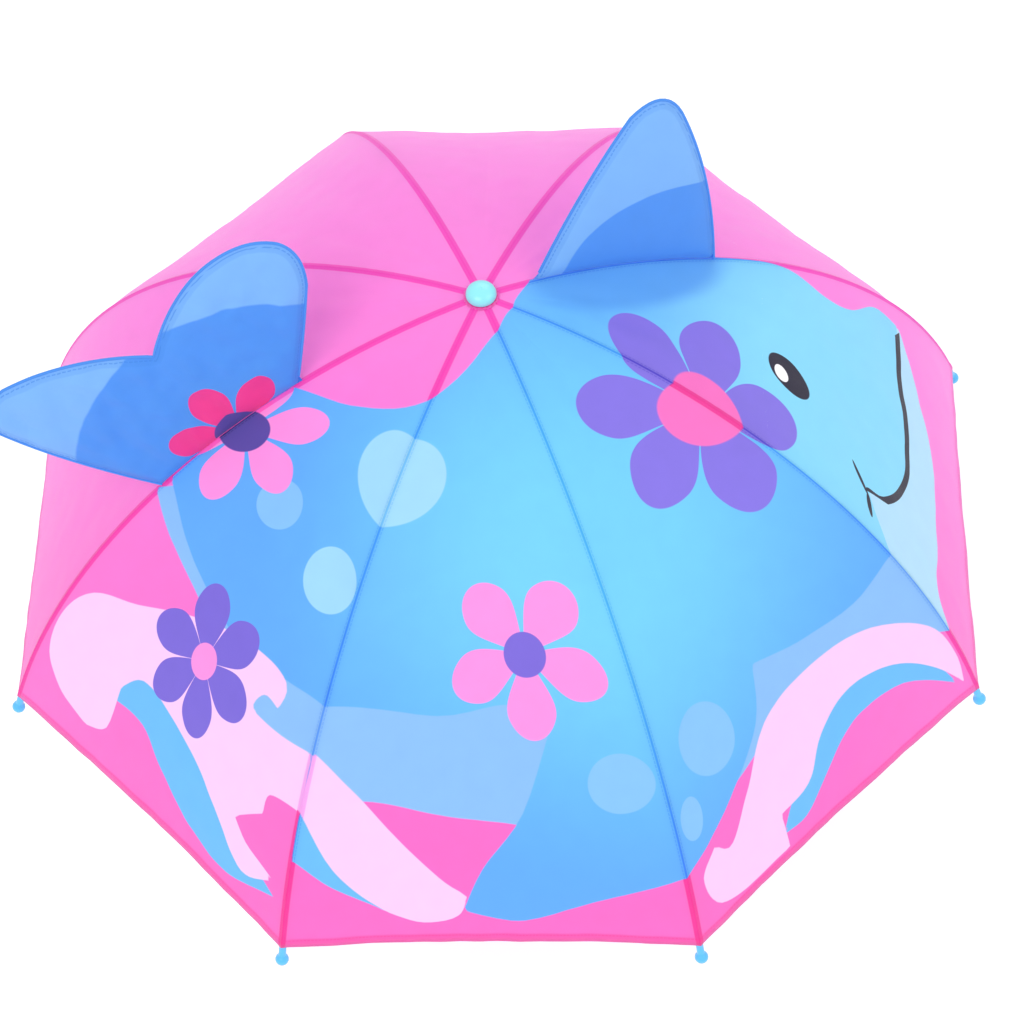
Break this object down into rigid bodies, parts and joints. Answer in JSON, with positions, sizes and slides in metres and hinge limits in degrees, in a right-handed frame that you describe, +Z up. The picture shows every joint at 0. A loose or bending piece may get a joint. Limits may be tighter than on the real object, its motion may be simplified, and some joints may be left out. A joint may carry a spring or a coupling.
{
  "type": "children's umbrella",
  "caption": "Domed stick umbrella for a child, with a whale-print canopy, a padded fin and tail standing on its seams, ball tips, sliding runner and hook handle.",
  "frame": {"origin": "middle of the handle's straight grip, on the shaft's axis", "axes": "+Z up the shaft towards the cap; the hook turns towards +X; rib 1, under the fin, is 22.5 degrees from +X"},
  "size_m": [0.657, 0.657, 0.6828],
  "materials": {
    "printed_cloth": "taut woven polyester with a satin sheen, printed in pinks, blues and purples",
    "pink_cloth": "taut woven polyester with a satin sheen",
    "fin_cloth": "padded woven polyester in two blues",
    "strap_cloth": "woven polyester tape",
    "aqua_plastic": "glossy moulded",
    "blue_plastic": "glossy moulded",
    "white_plastic": "satin moulded",
    "bright_steel": "bright plated",
    "black_steel": "black enamelled"
  },
  "bodies": {
    "shaft": {"shaft_tube": "bright_steel", "top_notch": "white_plastic", "notch_wire": "bright_steel", "canopy_cap": "aqua_plastic", "crown_rosette": "pink_cloth", "runner_stop": "black_steel", "handle": "blue_plastic", "handle_collar": "aqua_plastic"},
    "runner": {"runner_body": "white_plastic", "runner_wire": "bright_steel"},
    "upper_catch": {"upper_catch": "bright_steel"},
    "lower_catch": {"lower_catch": "bright_steel"},
    "rib_inner_1": {"rib_inner_1": "black_steel", "dorsal_fin": "fin_cloth"},
    "rib_outer_1": {"rib_outer_1": "black_steel", "rib_tip_1": "blue_plastic", "canopy_gore_1": "printed_cloth"},
    "stretcher_1": {"stretcher_1": "black_steel"},
    "rib_inner_2": {"rib_inner_2": "black_steel"},
    "rib_outer_2": {"rib_outer_2": "black_steel", "rib_tip_2": "blue_plastic", "canopy_gore_2": "printed_cloth"},
    "stretcher_2": {"stretcher_2": "black_steel"},
    "rib_inner_3": {"rib_inner_3": "black_steel"},
    "rib_outer_3": {"rib_outer_3": "black_steel", "rib_tip_3": "blue_plastic", "canopy_gore_3": "printed_cloth", "tie_strap": "strap_cloth"},
    "stretcher_3": {"stretcher_3": "black_steel"},
    "rib_inner_4": {"rib_inner_4": "black_steel"},
    "rib_outer_4": {"rib_outer_4": "black_steel", "rib_tip_4": "blue_plastic", "canopy_gore_4": "printed_cloth"},
    "stretcher_4": {"stretcher_4": "black_steel"},
    "rib_inner_5": {"rib_inner_5": "black_steel", "tail_fluke": "fin_cloth"},
    "rib_outer_5": {"rib_outer_5": "black_steel", "rib_tip_5": "blue_plastic", "canopy_gore_5": "printed_cloth"},
    "stretcher_5": {"stretcher_5": "black_steel"},
    "rib_inner_6": {"rib_inner_6": "black_steel"},
    "rib_outer_6": {"rib_outer_6": "black_steel", "rib_tip_6": "blue_plastic", "canopy_gore_6": "printed_cloth"},
    "stretcher_6": {"stretcher_6": "black_steel"},
    "rib_inner_7": {"rib_inner_7": "black_steel"},
    "rib_outer_7": {"rib_outer_7": "black_steel", "rib_tip_7": "blue_plastic", "canopy_gore_7": "printed_cloth"},
    "stretcher_7": {"stretcher_7": "black_steel"},
    "rib_inner_8": {"rib_inner_8": "black_steel"},
    "rib_outer_8": {"rib_outer_8": "black_steel", "rib_tip_8": "blue_plastic", "canopy_gore_8": "printed_cloth"},
    "stretcher_8": {"stretcher_8": "black_steel"}
  },
  "joints": [
    {"name": "runner_slide", "type": "slide", "parent": "shaft", "child": "runner", "axis": [0, 0, -1], "range_m": [0, 0.25207], "deforming": ["canopy_gore_1", "canopy_gore_2", "canopy_gore_3", "canopy_gore_4", "canopy_gore_5", "canopy_gore_6", "canopy_gore_7", "canopy_gore_8", "tie_strap", "tail_fluke"]},
    {"name": "upper_catch_press", "type": "hinge", "parent": "shaft", "child": "upper_catch", "pos_m": [0, -0.001, 0.32211], "axis": [-1, 0, 0], "range_deg": [0, 5], "stiffness_Nm_per_rad": 1},
    {"name": "lower_catch_press", "type": "hinge", "parent": "shaft", "child": "lower_catch", "pos_m": [0, -0.001, 0.13084], "axis": [1, 0, 0], "range_deg": [0, 5], "stiffness_Nm_per_rad": 1},
    {"name": "rib_1_fold", "type": "hinge", "parent": "shaft", "child": "rib_inner_1", "pos_m": [0.00665, 0.00276, 0.52], "axis": [-0.3827, 0.9239, 0], "range_deg": [0, 66.23]},
    {"name": "rib_1_flex", "type": "hinge", "parent": "rib_inner_1", "child": "rib_outer_1", "pos_m": [0.17746, 0.07351, 0.46106], "axis": [-0.3827, 0.9239, 0], "range_deg": [-26.43, 0]},
    {"name": "stretcher_1_fold", "type": "hinge", "parent": "rib_inner_1", "child": "stretcher_1", "pos_m": [0.17251, 0.07146, 0.45926], "axis": [-0.3827, 0.9239, 0], "range_deg": [-132.04, 0]},
    {"name": "rib_2_fold", "type": "hinge", "parent": "shaft", "child": "rib_inner_2", "pos_m": [0.00276, 0.00665, 0.52], "axis": [-0.9239, 0.3827, 0], "range_deg": [0, 66.23]},
    {"name": "rib_2_flex", "type": "hinge", "parent": "rib_inner_2", "child": "rib_outer_2", "pos_m": [0.07351, 0.17746, 0.46106], "axis": [-0.9239, 0.3827, 0], "range_deg": [-26.43, 0]},
    {"name": "stretcher_2_fold", "type": "hinge", "parent": "rib_inner_2", "child": "stretcher_2", "pos_m": [0.07146, 0.17251, 0.45926], "axis": [-0.9239, 0.3827, 0], "range_deg": [-132.04, 0]},
    {"name": "rib_3_fold", "type": "hinge", "parent": "shaft", "child": "rib_inner_3", "pos_m": [-0.00276, 0.00665, 0.52], "axis": [-0.9239, -0.3827, 0], "range_deg": [0, 66.23]},
    {"name": "rib_3_flex", "type": "hinge", "parent": "rib_inner_3", "child": "rib_outer_3", "pos_m": [-0.07351, 0.17746, 0.46106], "axis": [-0.9239, -0.3827, 0], "range_deg": [-26.43, 0]},
    {"name": "stretcher_3_fold", "type": "hinge", "parent": "rib_inner_3", "child": "stretcher_3", "pos_m": [-0.07146, 0.17251, 0.45926], "axis": [-0.9239, -0.3827, 0], "range_deg": [-132.04, 0]},
    {"name": "rib_4_fold", "type": "hinge", "parent": "shaft", "child": "rib_inner_4", "pos_m": [-0.00665, 0.00276, 0.52], "axis": [-0.3827, -0.9239, 0], "range_deg": [0, 66.23]},
    {"name": "rib_4_flex", "type": "hinge", "parent": "rib_inner_4", "child": "rib_outer_4", "pos_m": [-0.17746, 0.07351, 0.46106], "axis": [-0.3827, -0.9239, 0], "range_deg": [-26.43, 0]},
    {"name": "stretcher_4_fold", "type": "hinge", "parent": "rib_inner_4", "child": "stretcher_4", "pos_m": [-0.17251, 0.07146, 0.45926], "axis": [-0.3827, -0.9239, 0], "range_deg": [-132.04, 0]},
    {"name": "rib_5_fold", "type": "hinge", "parent": "shaft", "child": "rib_inner_5", "pos_m": [-0.00665, -0.00276, 0.52], "axis": [0.3827, -0.9239, 0], "range_deg": [0, 66.23]},
    {"name": "rib_5_flex", "type": "hinge", "parent": "rib_inner_5", "child": "rib_outer_5", "pos_m": [-0.17746, -0.07351, 0.46106], "axis": [0.3827, -0.9239, 0], "range_deg": [-26.43, 0]},
    {"name": "stretcher_5_fold", "type": "hinge", "parent": "rib_inner_5", "child": "stretcher_5", "pos_m": [-0.17251, -0.07146, 0.45926], "axis": [0.3827, -0.9239, 0], "range_deg": [-132.04, 0]},
    {"name": "rib_6_fold", "type": "hinge", "parent": "shaft", "child": "rib_inner_6", "pos_m": [-0.00276, -0.00665, 0.52], "axis": [0.9239, -0.3827, 0], "range_deg": [0, 66.23]},
    {"name": "rib_6_flex", "type": "hinge", "parent": "rib_inner_6", "child": "rib_outer_6", "pos_m": [-0.07351, -0.17746, 0.46106], "axis": [0.9239, -0.3827, 0], "range_deg": [-26.43, 0]},
    {"name": "stretcher_6_fold", "type": "hinge", "parent": "rib_inner_6", "child": "stretcher_6", "pos_m": [-0.07146, -0.17251, 0.45926], "axis": [0.9239, -0.3827, 0], "range_deg": [-132.04, 0]},
    {"name": "rib_7_fold", "type": "hinge", "parent": "shaft", "child": "rib_inner_7", "pos_m": [0.00276, -0.00665, 0.52], "axis": [0.9239, 0.3827, 0], "range_deg": [0, 66.23]},
    {"name": "rib_7_flex", "type": "hinge", "parent": "rib_inner_7", "child": "rib_outer_7", "pos_m": [0.07351, -0.17746, 0.46106], "axis": [0.9239, 0.3827, 0], "range_deg": [-26.43, 0]},
    {"name": "stretcher_7_fold", "type": "hinge", "parent": "rib_inner_7", "child": "stretcher_7", "pos_m": [0.07146, -0.17251, 0.45926], "axis": [0.9239, 0.3827, 0], "range_deg": [-132.04, 0]},
    {"name": "rib_8_fold", "type": "hinge", "parent": "shaft", "child": "rib_inner_8", "pos_m": [0.00665, -0.00276, 0.52], "axis": [0.3827, 0.9239, 0], "range_deg": [0, 66.23]},
    {"name": "rib_8_flex", "type": "hinge", "parent": "rib_inner_8", "child": "rib_outer_8", "pos_m": [0.17746, -0.07351, 0.46106], "axis": [0.3827, 0.9239, 0], "range_deg": [-26.43, 0]},
    {"name": "stretcher_8_fold", "type": "hinge", "parent": "rib_inner_8", "child": "stretcher_8", "pos_m": [0.17251, -0.07146, 0.45926], "axis": [0.3827, 0.9239, 0], "range_deg": [-132.04, 0]}
  ],
  "couplings": [
    {"joint": "rib_1_fold", "follows": "runner_slide", "rad_per_m": 4.5851},
    {"joint": "rib_1_flex", "follows": "runner_slide", "rad_per_m": -1.8292},
    {"joint": "stretcher_1_fold", "follows": "runner_slide", "rad_per_m": -9.1412},
    {"joint": "rib_2_fold", "follows": "runner_slide", "rad_per_m": 4.5851},
    {"joint": "rib_2_flex", "follows": "runner_slide", "rad_per_m": -1.8292},
    {"joint": "stretcher_2_fold", "follows": "runner_slide", "rad_per_m": -9.1412},
    {"joint": "rib_3_fold", "follows": "runner_slide", "rad_per_m": 4.5851},
    {"joint": "rib_3_flex", "follows": "runner_slide", "rad_per_m": -1.8292},
    {"joint": "stretcher_3_fold", "follows": "runner_slide", "rad_per_m": -9.1412},
    {"joint": "rib_4_fold", "follows": "runner_slide", "rad_per_m": 4.5851},
    {"joint": "rib_4_flex", "follows": "runner_slide", "rad_per_m": -1.8292},
    {"joint": "stretcher_4_fold", "follows": "runner_slide", "rad_per_m": -9.1412},
    {"joint": "rib_5_fold", "follows": "runner_slide", "rad_per_m": 4.5851},
    {"joint": "rib_5_flex", "follows": "runner_slide", "rad_per_m": -1.8292},
    {"joint": "stretcher_5_fold", "follows": "runner_slide", "rad_per_m": -9.1412},
    {"joint": "rib_6_fold", "follows": "runner_slide", "rad_per_m": 4.5851},
    {"joint": "rib_6_flex", "follows": "runner_slide", "rad_per_m": -1.8292},
    {"joint": "stretcher_6_fold", "follows": "runner_slide", "rad_per_m": -9.1412},
    {"joint": "rib_7_fold", "follows": "runner_slide", "rad_per_m": 4.5851},
    {"joint": "rib_7_flex", "follows": "runner_slide", "rad_per_m": -1.8292},
    {"joint": "stretcher_7_fold", "follows": "runner_slide", "rad_per_m": -9.1412},
    {"joint": "rib_8_fold", "follows": "runner_slide", "rad_per_m": 4.5851},
    {"joint": "rib_8_flex", "follows": "runner_slide", "rad_per_m": -1.8292},
    {"joint": "stretcher_8_fold", "follows": "runner_slide", "rad_per_m": -9.1412}
  ]
}
